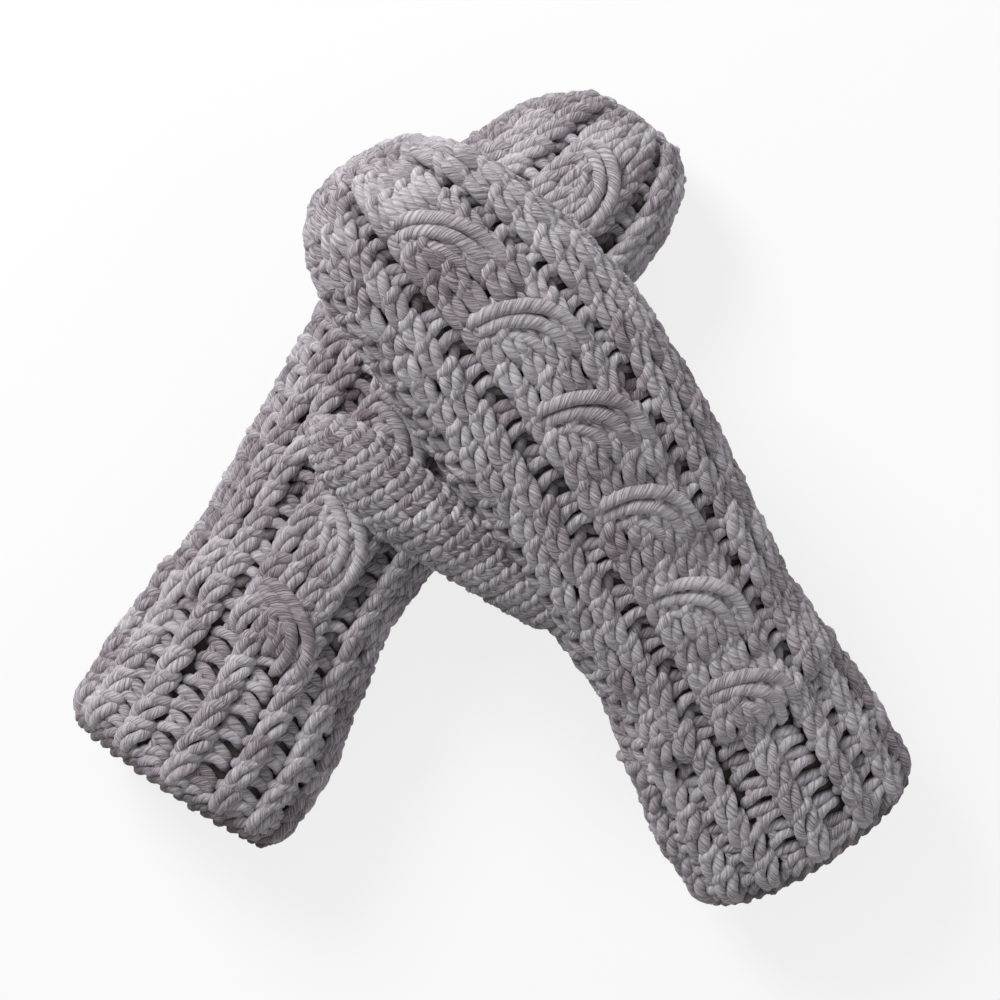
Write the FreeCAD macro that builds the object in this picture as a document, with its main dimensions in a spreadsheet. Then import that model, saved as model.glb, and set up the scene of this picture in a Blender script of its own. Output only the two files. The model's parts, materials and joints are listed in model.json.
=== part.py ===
import FreeCAD, Part
import math
import os

import Sketcher
from FreeCAD import Placement, Rotation, Vector

# A pair of chunky crocheted mittens with a cable up the back of each hand, laid crossed:
# the left mitten lies palm down and the right one crosses over it. Millimetres, +Z up.
#
# Each mitten is built in its own frame: Y runs from the cuff edge to the finger tip, X goes
# across, Z = 0 is the face that it lies on and the back of the hand looks up. The mittens
# keep the round, filled form of a worn pair. Cross sections are ellipses, joined by ruled
# lofts, so that the ribs, columns and cable strands can be seated on them exactly.

doc = FreeCAD.newDocument("MittenPair")
sheet = doc.addObject("Spreadsheet::Sheet", "Sizes")
numbers = {}

# Sections from the cuff edge to the tip: distance from the one before, width, depth, how far
# the middle bows to the little finger's side, and how far the underside curves up.
SECTIONS = {
    "rim": (0, 91, 58, 0, 0),
    "flare": (30, 93, 59, 0.5, 0),
    "cuff_top": (30, 84, 57, 3, 0),
    "wrist": (22, 77, 54, 5, 0),
    "palm": (39, 83, 55, 6, 0),
    "crotch": (44, 87, 56, 8, 0),
    "knuckle": (35, 87, 55, 7.5, 0),
    "finger": (28, 82, 53, 4.5, 0),
    "taper": (24, 75, 48, 0, 2),
    "shoulder": (16, 64, 40, -2, 5),
    "crown": (10, 48, 29, -3, 9),
    "tip": (5, 24, 14, -3.5, 15),
}
FIELDS = ("run", "width", "depth", "bow", "lift")

# How finely distances round a section and the lean of the right mitten are worked out.
ANGLE_STEP = math.radians(1)
MARKS_ROUND = 12
LEAST_LEAN = 5.0
MOST_LEAN = 45.0
LEAN_STEP = 0.01

VALUES = {
    "fabric": 5.5,              # thickness of the crocheted fabric
    "flat_cut": 1.5,            # how far the palm side is flattened where it lies
    "seat_gap": 0.3,            # between a raised yarn column and the fabric under it
    "rim_height": 6,            # the chain round at the cuff edge
    "rib_rise": 2.8,            # how far the cuff's ribs stand out
    "rib_width": 10,
    "rib_count": 14,
    "post_width": 7.6,          # one front-post column beside the cable
    "post_rise": 3.2,
    "post_pitch": 9,            # from one post column to the next
    "thumb_post_offset": 30,    # round the hand, from the cable to the post column beside it
    "outer_post_offset": 26.5,  # the same on the little finger's side
    "strand_width": 11,         # one cable strand, two stitches wide
    "strand_rise": 3.2,
    "strand_reach": 6.8,        # from the middle of the cable to a strand, between crossings
    "crossing_pitch": 37,       # from one cable crossing to the next
    "first_crossing": 12,       # from the top of the cuff
    "left_cable_shift": -6,     # how far the cable lies to the little finger's side
    "right_cable_shift": 5,
    "gusset_width": 18,         # the thumb gusset where it starts
    "gusset_flatness": 4,       # how much less deep than wide it is
    "gusset_proud": 1.5,        # how far its first stitches stand out of the hand's edge
    "thumb_start": 11,          # from the crotch to the thumb's first free round
    "thumb_length": 29,         # straight part of the thumb
    "thumb_width": 29,
    "thumb_flatness": 3,        # how much less deep than wide the thumb is
    "thumb_fabric": 4.5,        # its stitches are smaller and thinner
    "thumb_splay": 7,           # how far the straight part leans outwards
    "thumb_end_width": 26,
    "thumb_end_flatness": 2.5,
    "thumb_round_run": 9,       # rounds that close the thumb
    "thumb_round_width": 20,
    "thumb_round_flatness": 2,
    "thumb_cap_run": 7,
    "thumb_cap_width": 9,
    "thumb_cap_flatness": 1,
    "thumb_cap_splay": 2.5,
    "crotch_gap": 0.6,          # between the thumb and the side of the hand
    "hinge_gap": 0.4,           # between the thumb's first round and the gusset's last
    "passage_run": 9,           # from the start of the gusset to the thumb's way in
    "passage_width": 18,
    "passage_flatness": 2,
    "passage_inset": 16,        # from the hand's edge to the middle of that way in
    "left_thumb_height": 16,    # the left thumb hangs down beside the palm
    "right_thumb_height": 28,
    "left_yaw": -34,
    "right_yaw": 33.6,
    "cuff_spread": 216.8,       # between the middles of the two cuff edges, along X
    "cuff_step": -13,         # and along Y
    "stack_gap": 0.4,           # between the right mitten and the left one under it
}


def fill_sheet():
    cells = {}
    for name, row in SECTIONS.items():
        for field, value in zip(FIELDS, row):
            cells[name + "_" + field] = value
    cells.update(VALUES)
    for line, (alias, value) in enumerate(cells.items(), start=1):
        sheet.set("A%d" % line, alias)
        sheet.set("B%d" % line, str(value))
        sheet.setAlias("B%d" % line, alias)
    doc.recompute()
    for alias in cells:
        numbers[alias] = float(sheet.get(alias))


def size(alias):
    return numbers[alias]


# ---------------------------------------------------------------- shared shape rules

def names_to(name):
    names = list(SECTIONS)
    return names[: names.index(name) + 1]


def at(name):
    """Expression for a section's distance from the cuff edge."""
    return " + ".join("Sizes.%s_run" % step for step in names_to(name))


def place_of(name):
    return sum(size(step + "_run") for step in names_to(name))


def section_expressions(name, hand, inset="0"):
    """Where a section of the mitten is and how large, less an inset all round."""
    return {
        "at": at(name),
        "x": "%d * Sizes.%s_bow" % (hand, name),
        "z": "Sizes.%s_depth / 2 + Sizes.%s_lift - Sizes.flat_cut" % (name, name),
        "width": "Sizes.%s_width - 2 * (%s)" % (name, inset),
        "depth": "Sizes.%s_depth - 2 * (%s)" % (name, inset),
    }


def section_at(y):
    """Half width, half depth and middle of the mitten at a distance from the cuff edge."""
    names = list(SECTIONS)
    for lower, upper in zip(names, names[1:]):
        start = place_of(lower)
        run = size(upper + "_run")
        if y <= start + run or upper == names[-1]:
            share = (y - start) / run
            break
    between = {}
    for field in FIELDS[1:]:
        first = size("%s_%s" % (lower, field))
        last = size("%s_%s" % (upper, field))
        between[field] = first + (last - first) * share
    middle = between["depth"] / 2 + between["lift"] - size("flat_cut")
    return between["width"] / 2, between["depth"] / 2, between["bow"], middle


def girth(half_width, half_depth):
    """Length round an ellipse."""
    share = ((half_width - half_depth) / (half_width + half_depth)) ** 2
    ring = math.pi * (half_width + half_depth)
    return ring * (1 + 3 * share / (10 + math.sqrt(4 - 3 * share)))


def girth_share(y):
    """How narrow the mitten is at a distance from the cuff edge, against its widest."""
    half_width, half_depth = section_at(y)[:2]
    return girth(half_width, half_depth) / girth(size("crotch_width") / 2, size("crotch_depth") / 2)


def above(y, around, height):
    """A point over the back of a right hand, a distance round it from its highest line."""
    half_width, half_depth, bow, middle = section_at(y)
    angle = math.pi / 2
    turn = math.copysign(ANGLE_STEP, around)
    left = abs(around)
    while left > 0:
        speed = math.hypot(half_width * math.sin(angle), half_depth * math.cos(angle))
        stretch = speed * abs(turn)
        angle -= turn * min(1.0, left / stretch)
        left -= stretch
    return lifted(y, math.cos(angle), math.sin(angle), height,
                  half_width, half_depth, bow, middle)


def lifted(y, cosine, sine, height, half_width, half_depth, bow, middle):
    """The same for any point round an elliptical section, given as a cosine and a sine."""
    normal = Vector(cosine / half_width, 0, sine / half_depth).normalize()
    foot = Vector(bow + half_width * cosine, y, middle + half_depth * sine)
    return foot + normal * height, Vector(normal.z, 0, -normal.x), normal


# ---------------------------------------------------------------- bodies with sketches

def origin_plane(body, role):
    return next(part for part in body.Origin.OriginFeatures if part.Role == role)


def ellipse_sketch(body, name, place):
    """An ellipse across the mitten, tied to the sheet."""
    sketch = body.newObject("Sketcher::SketchObject", name)
    sketch.AttachmentSupport = [(origin_plane(body, "XZ_Plane"), "")]
    sketch.MapMode = "FlatFace"
    sketch.setExpression("AttachmentOffset.Base.z", "-(%s)" % place["at"])
    middle = Vector(size("crotch_bow"), size("crotch_depth") / 2, 0)
    end = middle + Vector(size("crotch_width") / 2, 0, 0)
    top = middle + Vector(0, size("crotch_depth") / 2, 0)
    curve = sketch.addGeometry(Part.Ellipse(end, top, middle), False)
    sketch.exposeInternalGeometry(curve)
    sketch.addConstraint(Sketcher.Constraint("Horizontal", 1))
    rules = (
        ("middle_x", Sketcher.Constraint("DistanceX", -1, 1, curve, 3, middle.x), place["x"]),
        ("middle_z", Sketcher.Constraint("DistanceY", -1, 1, curve, 3, middle.y), place["z"]),
        ("width", Sketcher.Constraint("Distance", 1, size("crotch_width")), place["width"]),
        ("depth", Sketcher.Constraint("Distance", 2, size("crotch_depth")), place["depth"]),
    )
    for rule, constraint, expression in rules:
        index = sketch.addConstraint(constraint)
        sketch.renameConstraint(index, rule)
        sketch.setExpression("Constraints." + rule, expression)
    return sketch


def loft(body, kind, name, places):
    sketches = [ellipse_sketch(body, "%s_%d" % (name, i), p) for i, p in enumerate(places)]
    feature = body.newObject("PartDesign::" + kind, name)
    feature.Profile = sketches[0]
    feature.Sections = sketches[1:]
    feature.Ruled = True
    return feature


def lying_flat(body):
    """Cuts the palm side level with the face that the mitten lies on."""
    sketch = body.newObject("Sketcher::SketchObject", "LyingFace")
    sketch.AttachmentSupport = [(origin_plane(body, "XY_Plane"), "")]
    sketch.MapMode = "FlatFace"
    reach = size("rim_width") + size("thumb_width")
    low = Vector(-reach, -size("rim_height"), 0)
    high = Vector(reach, place_of("tip") + size("rim_height"), 0)
    corners = (low, Vector(high.x, low.y, 0), high, Vector(low.x, high.y, 0))
    for start, end in zip(corners, corners[1:] + corners[:1]):
        sketch.addGeometry(Part.LineSegment(start, end), False)
    pocket = body.newObject("PartDesign::Pocket", "LyingFlat")
    pocket.Profile = sketch
    pocket.Type = "ThroughAll"


def tube(label, hand, names):
    """One stretch of the mitten's tube between two or more of its sections."""
    body = doc.addObject("PartDesign::Body", label)
    body.Label = label
    hollow = [section_expressions(n, hand, "Sizes.fabric") for n in names]
    loft(body, "AdditiveLoft", "Outside", [section_expressions(n, hand) for n in names])
    loft(body, "SubtractiveLoft", "Inside", hollow)
    lying_flat(body)
    return body


# ---------------------------------------------------------------- the hand's tube

def shifted(place, distance):
    """The same section, moved along the mitten."""
    return dict(place, at="%s + %s" % (place["at"], distance))


def make_cuff_edge(side, hand):
    """The chain round that the cuff starts from."""
    body = doc.addObject("PartDesign::Body", side + "_cuff_edge")
    body.Label = side + "_cuff_edge"
    outside = section_expressions("rim", hand)
    inside = section_expressions("rim", hand, "Sizes.fabric")
    loft(body, "AdditiveLoft", "Outside", [outside, shifted(outside, "Sizes.rim_height")])
    loft(body, "SubtractiveLoft", "Inside", [inside, shifted(inside, "Sizes.rim_height")])
    lying_flat(body)
    return body


def make_cuff(side, hand):
    """The ribbed cuff's fabric, which carries the ribs."""
    body = doc.addObject("PartDesign::Body", side + "_cuff")
    body.Label = side + "_cuff"
    for kind, name, inset in (
        ("AdditiveLoft", "Outside", "Sizes.rib_rise"),
        ("SubtractiveLoft", "Inside", "Sizes.fabric"),
    ):
        start = shifted(section_expressions("rim", hand, inset), "Sizes.rim_height")
        rest = [section_expressions(n, hand, inset) for n in ("flare", "cuff_top")]
        loft(body, kind, name, [start] + rest)
    return body


def make_hand(side, hand):
    """From the cuff to the knuckles, with the way into the thumb in its side."""
    body = tube(side + "_hand", hand, ("cuff_top", "wrist", "palm", "crotch", "knuckle"))
    loft(body, "SubtractiveLoft", "ThumbPassage", passage_places(side, hand))
    return body


def make_fingers(side, hand):
    return tube(side + "_fingers", hand, ("knuckle", "finger", "taper"))


def make_tip_gather(side, hand):
    """The last rounds, drawn together over the finger tips."""
    label = side + "_tip_gather"
    body = doc.addObject("PartDesign::Body", label)
    body.Label = label
    names = ("taper", "shoulder", "crown", "tip")
    loft(body, "AdditiveLoft", "Outside", [section_expressions(n, hand) for n in names])
    hollow = [section_expressions(n, hand, "Sizes.fabric") for n in names[:3]]
    loft(body, "SubtractiveLoft", "Inside", hollow)
    return body


# ---------------------------------------------------------------- thumb

THUMB_STEPS = {
    "thumb": ("0", "0"),
    "thumb_end": ("Sizes.thumb_length", "Sizes.thumb_splay"),
    "thumb_round": ("Sizes.thumb_length + Sizes.thumb_round_run",
                    "Sizes.thumb_splay + Sizes.thumb_cap_splay / 2"),
    "thumb_cap": ("Sizes.thumb_length + Sizes.thumb_round_run + Sizes.thumb_cap_run",
                  "Sizes.thumb_splay + Sizes.thumb_cap_splay"),
}


def hand_edge(name):
    """Expression for the hand's edge on the thumb's side, at one of its sections."""
    return "(Sizes.%s_width / 2 - Sizes.%s_bow)" % (name, name)


def thumb_place(name, side, hand, inset="0"):
    """One of the thumb's sections. It starts beside the hand, just past the crotch."""
    run, splay = THUMB_STEPS[name]
    root = "%s + Sizes.crotch_gap + Sizes.thumb_width / 2" % hand_edge("crotch")
    return {
        "at": "%s + Sizes.thumb_start + %s" % (at("crotch"), run),
        "x": "%d * (%s + %s)" % (-hand, root, splay),
        "z": "Sizes.%s_thumb_height" % side,
        "width": "Sizes.%s_width - 2 * (%s)" % (name, inset),
        "depth": "Sizes.%s_width - Sizes.%s_flatness - 2 * (%s)" % (name, name, inset),
    }


def passage_places(side, hand):
    """The way from inside the hand into the thumb."""
    entry = {
        "at": "%s + Sizes.passage_run" % at("palm"),
        "x": "%d * (%s - Sizes.passage_inset)" % (-hand, hand_edge("palm")),
        "z": "Sizes.%s_thumb_height" % side,
        "width": "Sizes.passage_width",
        "depth": "Sizes.passage_width - Sizes.passage_flatness",
    }
    return [entry, thumb_place("thumb", side, hand, "Sizes.thumb_fabric")]


def make_thumb_gusset(side, hand):
    """The widening at the side of the hand, which the thumb grows from."""
    label = side + "_thumb_gusset"
    body = doc.addObject("PartDesign::Body", label)
    body.Label = label
    start = {
        "at": at("palm"),
        "x": "%d * (%s + Sizes.gusset_proud - Sizes.gusset_width / 2)"
             % (-hand, hand_edge("palm")),
        "z": "Sizes.%s_thumb_height" % side,
        "width": "Sizes.gusset_width",
        "depth": "Sizes.gusset_width - Sizes.gusset_flatness",
    }
    beside = [section_expressions(n, hand, "-Sizes.seat_gap")
              for n in ("wrist", "palm", "crotch", "knuckle")]
    loft(body, "AdditiveLoft", "Outside", [start, thumb_place("thumb", side, hand)])
    loft(body, "SubtractiveLoft", "HandSide", beside)
    loft(body, "SubtractiveLoft", "ThumbPassage", passage_places(side, hand))
    return body


def make_thumb(side, hand):
    """The thumb's free rounds. They start a hinge gap past the gusset."""
    label = side + "_thumb"
    body = doc.addObject("PartDesign::Body", label)
    body.Label = label
    for kind, name, inset in (
        ("AdditiveLoft", "Outside", "0"),
        ("SubtractiveLoft", "Inside", "Sizes.thumb_fabric"),
    ):
        start = shifted(thumb_place("thumb", side, hand, inset), "Sizes.hinge_gap")
        loft(body, kind, name, [start, thumb_place("thumb_end", side, hand, inset)])
    return body


def make_thumb_tip(side, hand):
    """The rounds that close the thumb."""
    label = side + "_thumb_tip"
    body = doc.addObject("PartDesign::Body", label)
    body.Label = label
    names = ("thumb_end", "thumb_round", "thumb_cap")
    loft(body, "AdditiveLoft", "Outside", [thumb_place(n, side, hand) for n in names])
    hollow = [thumb_place(n, side, hand, "Sizes.thumb_fabric") for n in names[:2]]
    loft(body, "SubtractiveLoft", "Inside", hollow)
    return body


# ---------------------------------------------------------------- raised yarn columns

def flat_ellipse(middle, along, normal, width, height):
    return Part.Ellipse(
        middle + along * (width / 2), middle + normal * (height / 2), middle
    ).toShape()


def rope(path, hand):
    """A ruled solid through flat ellipses; each stop is a middle, two directions, two sizes."""
    rings = []
    for middle, along, normal, width, height in path:
        turned = [Vector(hand * v.x, v.y, v.z) for v in (middle, along, normal)]
        rings.append(flat_ellipse(turned[0], turned[1], turned[2], width, height))
    faces = [Part.makeRuledSurface(first, last) for first, last in zip(rings, rings[1:])]
    faces += [Part.Face(Part.Wire([ring])) for ring in (rings[0], rings[-1])]
    shell = Part.makeShell(faces)
    shell.sewShape()
    return Part.makeSolid(shell)


def post_paths(side, toward):
    """The two front-post columns on one side of the cable, from the cuff to the shoulder."""
    rise = size("post_rise")
    offset = size("thumb_post_offset" if toward < 0 else "outer_post_offset")
    paths = []
    for column in (0, 1):
        around = size(side + "_cable_shift") + toward * (offset + column * size("post_pitch"))
        stops = []
        for name in list(SECTIONS)[2:-2]:
            y = place_of(name)
            share = girth_share(y)
            stop = above(y, around * share, size("seat_gap") + rise / 2)
            stops.append(stop + (size("post_width") * share, rise))
        paths.append(stops)
    return paths


def strand_path(side, phase):
    """A cable strand: it swings from side to side, over the other one and then under it.

    On both mittens, seen from above, the strand that goes to the left is the one on top.
    """
    pitch = size("crossing_pitch")
    first = place_of("cuff_top") + size("first_crossing")
    last = place_of("taper") + size("shoulder_run") / 2
    stops = {place_of("cuff_top") + size("seat_gap"), last}
    per_crossing = 6
    step = pitch / per_crossing
    count = int((last - place_of("cuff_top")) / step)
    stops.update(first + step * i for i in range(-per_crossing, count + 1))
    stops.update(place_of(name) for name in ("wrist", "palm", "crotch", "knuckle", "finger", "taper"))
    rise = size("strand_rise")
    climb = rise + size("seat_gap")
    over = 1 if side == "right" else -1
    path = []
    for y in sorted(s for s in stops if place_of("cuff_top") < s <= last):
        angle = math.pi * (y - first) / pitch + phase
        share = min(1.0, girth_share(y) / girth_share(place_of("wrist")))
        around = size(side + "_cable_shift") * girth_share(y)
        around -= size("strand_reach") * share * math.sin(angle)
        height = size("seat_gap") + rise / 2 + climb * (1 + over * math.cos(angle)) / 2
        stop = above(y, around, height)
        path.append(stop + (size("strand_width") * share, rise))
    return path


def rib_path(angle):
    """One rib of the cuff, from the chain round to the wrist."""
    stops = []
    inset = size("rib_rise")
    height = (size("rib_rise") + size("seat_gap")) / 2
    for y in (size("rim_height"), place_of("flare"), place_of("cuff_top") - size("seat_gap")):
        half_width, half_depth, bow, middle = section_at(y)
        stop = lifted(y, math.cos(angle), math.sin(angle), height,
                      half_width - inset, half_depth - inset, bow, middle)
        stops.append(stop + (size("rib_width"), inset - size("seat_gap")))
    return stops


def feature(label, shape):
    piece = doc.addObject("Part::Feature", label)
    piece.Label = label
    piece.Shape = shape
    return piece


def make_cuff_ribs(side, hand):
    """The raised columns all round the cuff; those under it are flattened with it."""
    reach = size("rim_width") * 2
    floor = Part.makeBox(2 * reach, 2 * reach, reach, Vector(-reach, -reach, -reach))
    count = int(size("rib_count"))
    ribs = []
    for i in range(count):
        angle = 2 * math.pi * (i + 0.5) / count
        ribs.append(rope(rib_path(angle), hand).cut(floor))
    return feature(side + "_cuff_ribs", Part.makeCompound(ribs))


def make_post_columns(side, hand, name, toward):
    """The raised columns on one side of the cable: -1 is the thumb's side."""
    columns = [rope(path, hand) for path in post_paths(side, toward)]
    return feature("%s_%s" % (side, name), Part.makeCompound(columns))


def make_cable_strands(side, hand):
    """The two strands, which swing against each other."""
    order = ("a", "b") if hand > 0 else ("b", "a")
    return [
        feature("%s_cable_strand_%s" % (side, name), rope(strand_path(side, phase), hand))
        for name, phase in zip(order, (0, math.pi))
    ]


# ---------------------------------------------------------------- how the pair lies

def mitten(side, hand):
    pieces = [
        make_cuff_edge(side, hand),
        make_cuff(side, hand),
        make_cuff_ribs(side, hand),
        make_hand(side, hand),
        make_fingers(side, hand),
        make_tip_gather(side, hand),
        make_post_columns(side, hand, "thumb_side_columns", -1),
        make_post_columns(side, hand, "outer_columns", 1),
        make_thumb_gusset(side, hand),
        make_thumb(side, hand),
        make_thumb_tip(side, hand),
    ]
    return pieces + make_cable_strands(side, hand)


def thumb_axis(side, hand):
    """Both ends of the thumb's straight part, in the mitten's own frame."""
    root = size("crotch_width") / 2 - size("crotch_bow") + size("crotch_gap")
    root += size("thumb_width") / 2
    start = place_of("crotch") + size("thumb_start")
    height = size(side + "_thumb_height")
    out = root + size("thumb_splay")
    length = size("thumb_length") + size("thumb_round_run")
    return Vector(-hand * root, start, height), Vector(-hand * out, start + length, height)


def clearance_of(point):
    """Distance from a point in the right mitten's frame to its hand or its thumb."""
    y = min(max(point.y, 0.0), place_of("tip"))
    half_width, half_depth, bow, middle = section_at(y)
    around = math.hypot((point.x - bow) / half_width, (point.z - middle) / half_depth)
    hand = max((around - 1) * half_depth, -point.z)
    root, end = thumb_axis("right", 1)
    length = (end - root).Length
    along = (point - root).dot(end - root) / length ** 2
    share = min(max(along, -size("thumb_width") / length), 1.0)
    near = root + (end - root) * share
    off = point - near
    half_width = size("thumb_width") / 2
    half_depth = half_width - size("thumb_flatness") / 2
    thumb = (math.hypot(off.x / half_width, off.z / half_depth) - 1) * half_depth
    return min(hand, thumb)


def left_top():
    """Points on the upper side of the left mitten and of the columns and strands on it."""
    marks = []
    for y in range(int(place_of("palm")), int(place_of("shoulder")), MARKS_ROUND // 4):
        half_width, half_depth, bow, middle = section_at(y)
        for i in range(1, 2 * MARKS_ROUND):
            angle = math.pi * i / (2 * MARKS_ROUND)
            out = bow + half_width * math.cos(angle)
            marks.append(Vector(-out, y, middle + half_depth * math.sin(angle)))
    paths = [strand_path("left", 0), strand_path("left", math.pi)]
    paths += post_paths("left", -1) + post_paths("left", 1)
    for path in paths:
        for first, last in zip(path, path[1:]):
            for third in range(3):
                middle, along, normal, width, height = [
                    a + (b - a) * third / 3 for a, b in zip(first, last)
                ]
                for i in range(MARKS_ROUND + 1):
                    angle = math.pi * i / MARKS_ROUND
                    mark = middle + along * (width / 2 * math.cos(angle))
                    mark += normal * (height / 2 * math.sin(angle))
                    marks.append(Vector(-mark.x, mark.y, mark.z))
    return marks


def right_placement(tilt):
    """The right mitten turns, then leans back on its cuff edge, which stays on the floor."""
    turn = Rotation(Vector(0, 0, 1), size("right_yaw"))
    lean = Rotation(Vector(1, 0, 0), tilt)
    return Placement(Vector(size("cuff_spread"), size("cuff_step"), 0), turn * lean)


def left_placement():
    return Placement(Vector(0, 0, 0), Rotation(Vector(0, 0, 1), size("left_yaw")))


def gap_at(tilt, marks):
    into_right = right_placement(tilt).inverse().multiply(left_placement())
    return min(clearance_of(into_right.multVec(mark)) for mark in marks)


def resting_tilt():
    """The angle at which the right mitten just clears the left one that it lies over."""
    marks = left_top()
    low, high = LEAST_LEAN, MOST_LEAN
    while high - low > LEAN_STEP:
        middle = (low + high) / 2
        if gap_at(middle, marks) < size("stack_gap"):
            low = middle
        else:
            high = middle
    return high


def put_in_place(left, right):
    """Places both mittens and puts the origin under the middle of the pair."""
    tilt = resting_tilt()
    places = ((left, left_placement()), (right, right_placement(tilt)))
    boxes = []
    for pieces, place in places:
        for piece in pieces:
            shape = piece.Shape.copy()
            shape.Placement = place.multiply(shape.Placement)
            boxes.append(shape.optimalBoundingBox(False, False))
    whole = boxes[0]
    for box in boxes[1:]:
        whole.add(box)
    shift = Placement(Vector(-whole.Center.x, -whole.Center.y, -whole.ZMin), Rotation())
    for pieces, place in places:
        for piece in pieces:
            piece.Placement = shift.multiply(place)
    print("tilt %.3f, size %.2f x %.2f x %.2f"
          % (tilt, whole.XLength, whole.YLength, whole.ZLength))
    return {"left": shift.multiply(places[0][1]), "right": shift.multiply(places[1][1])}


def check(pieces):
    for item in doc.Objects:
        if "Invalid" in item.State or "Error" in item.State:
            raise RuntimeError("%s did not build: %s" % (item.Label, item.State))
    for piece in pieces:
        if piece.Shape.isNull() or not piece.Shape.isValid():
            raise RuntimeError("%s has no valid shape" % piece.Label)


def report_places(places):
    """Prints where each mitten's frame and its thumb hinge lie, for the joints and mounts."""
    for side, hand in (("left", -1), ("right", 1)):
        place = places[side]
        root = thumb_axis(side, hand)[0]
        hinge = root + Vector(-hand * size("thumb_width") / 2, size("hinge_gap"), 0)
        print(side, "frame", place.Base, "up", place.Rotation.multVec(Vector(0, 0, 1)),
              "along", place.Rotation.multVec(Vector(0, 1, 0)), "hinge", place.multVec(hinge))


fill_sheet()
left_mitten = mitten("left", -1)
right_mitten = mitten("right", 1)
doc.recompute()
check(left_mitten + right_mitten)
report_places(put_in_place(left_mitten, right_mitten))
doc.recompute()
check(left_mitten + right_mitten)
os.makedirs("parts", exist_ok=True)
for node in left_mitten + right_mitten:
    node.Shape.exportStep("parts/%s.step" % node.Label)
    print("%-28s solids %2d volume %9.1f" % (node.Label, len(node.Shape.Solids), node.Shape.Volume))
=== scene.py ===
import json
import math

import bpy
import numpy as np
from mathutils import Matrix, Vector
from mathutils.bvhtree import BVHTree


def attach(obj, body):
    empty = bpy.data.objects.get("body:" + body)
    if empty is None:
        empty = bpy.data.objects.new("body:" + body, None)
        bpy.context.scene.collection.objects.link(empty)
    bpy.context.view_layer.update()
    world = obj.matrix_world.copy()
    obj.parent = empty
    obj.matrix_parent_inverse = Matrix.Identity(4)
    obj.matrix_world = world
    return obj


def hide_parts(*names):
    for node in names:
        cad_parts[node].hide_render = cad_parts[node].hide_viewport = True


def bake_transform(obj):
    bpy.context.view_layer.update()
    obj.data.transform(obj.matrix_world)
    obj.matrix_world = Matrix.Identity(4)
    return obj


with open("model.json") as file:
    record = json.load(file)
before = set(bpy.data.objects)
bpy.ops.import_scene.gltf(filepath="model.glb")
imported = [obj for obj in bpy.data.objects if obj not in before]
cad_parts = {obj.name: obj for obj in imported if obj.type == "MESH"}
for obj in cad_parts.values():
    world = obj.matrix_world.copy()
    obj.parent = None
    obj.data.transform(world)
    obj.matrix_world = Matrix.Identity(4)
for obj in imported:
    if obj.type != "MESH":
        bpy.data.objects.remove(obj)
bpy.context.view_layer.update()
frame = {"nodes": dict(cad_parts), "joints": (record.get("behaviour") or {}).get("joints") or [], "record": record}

# A pair of crocheted mittens, worked stitch by stitch. Each mitten has a guide surface, measured
# on the frame's own tubes. Stitches are laid out flat, by their distance round the hand and from
# the cuff edge, and Geometry Nodes wrap them onto the guide and sweep the yarn along them.

mounts = {mount["name"]: mount for mount in frame["record"]["mounts"]}
mm = 0.001
handSign = {"left": -1, "right": 1}        # which way the little finger lies, along local X


# Guide surfaces, measured on the frame

guideSizes = {
    "station": 4 * mm,        # how closely the tubes are measured
    "rays": 72,
    "reach": 130 * mm,
    "flatLimit": 0.8 * mm,        # below this the tube is flattened, so it isn't measured
    "stray": 0.8 * mm,
    "smoothing": 2,
    "overlap": 0.15,        # share of a turn that the guide runs past its own seam
    "roundSteps": 130,
    "rimRoll": 5 * mm,        # how far the guide runs on before the cuff edge
    "ribRise": 2.8 * mm,
}


def mittenMatrix(side):        # X across, Y to the finger tips, Z up from the palm side
    wrist = mounts[side + "_wrist_opening"]
    swing = next(joint for joint in frame["joints"] if joint["name"] == side + "_thumb_swing")
    up = Vector(swing["axis"]).normalized() * handSign[side]
    across = (-Vector(wrist["axis"])).cross(up).normalized()
    along = up.cross(across)
    middle = Vector(wrist["pos_m"])
    lowest = min(vertex.co.dot(up) for vertex in frame["nodes"][side + "_cuff_edge"].data.vertices)
    base = middle - up * (middle.dot(up) - lowest)
    turn = Matrix((across, along, up)).transposed().to_4x4()
    return Matrix.Translation(base) @ turn


def localPoints(side, node):
    back = matrices[side].inverted()
    return [back @ vertex.co for vertex in frame["nodes"][side + "_" + node].data.vertices]


def localTree(side, nodes):
    points, faces = [], []
    for node in nodes:
        first = len(points)
        points += localPoints(side, node)
        mesh = frame["nodes"][side + "_" + node].data
        faces += [[first + i for i in face.vertices] for face in mesh.polygons]
    return BVHTree.FromPolygons(points, faces)


def fitEllipse(points, middle):        # level ellipse through points: half width, half depth, middle
    x, z = points[:, 0] - middle[0], points[:, 1] - middle[1]
    rows = np.column_stack((x * x, z * z, x, z))
    a, c, d, e = np.linalg.lstsq(rows, np.ones(len(x)), rcond=None)[0]
    cx, cz = -d / (2 * a), -e / (2 * c)
    k = 1 + a * cx * cx + c * cz * cz
    return math.sqrt(k / a), math.sqrt(k / c), middle[0] + cx, middle[1] + cz


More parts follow.
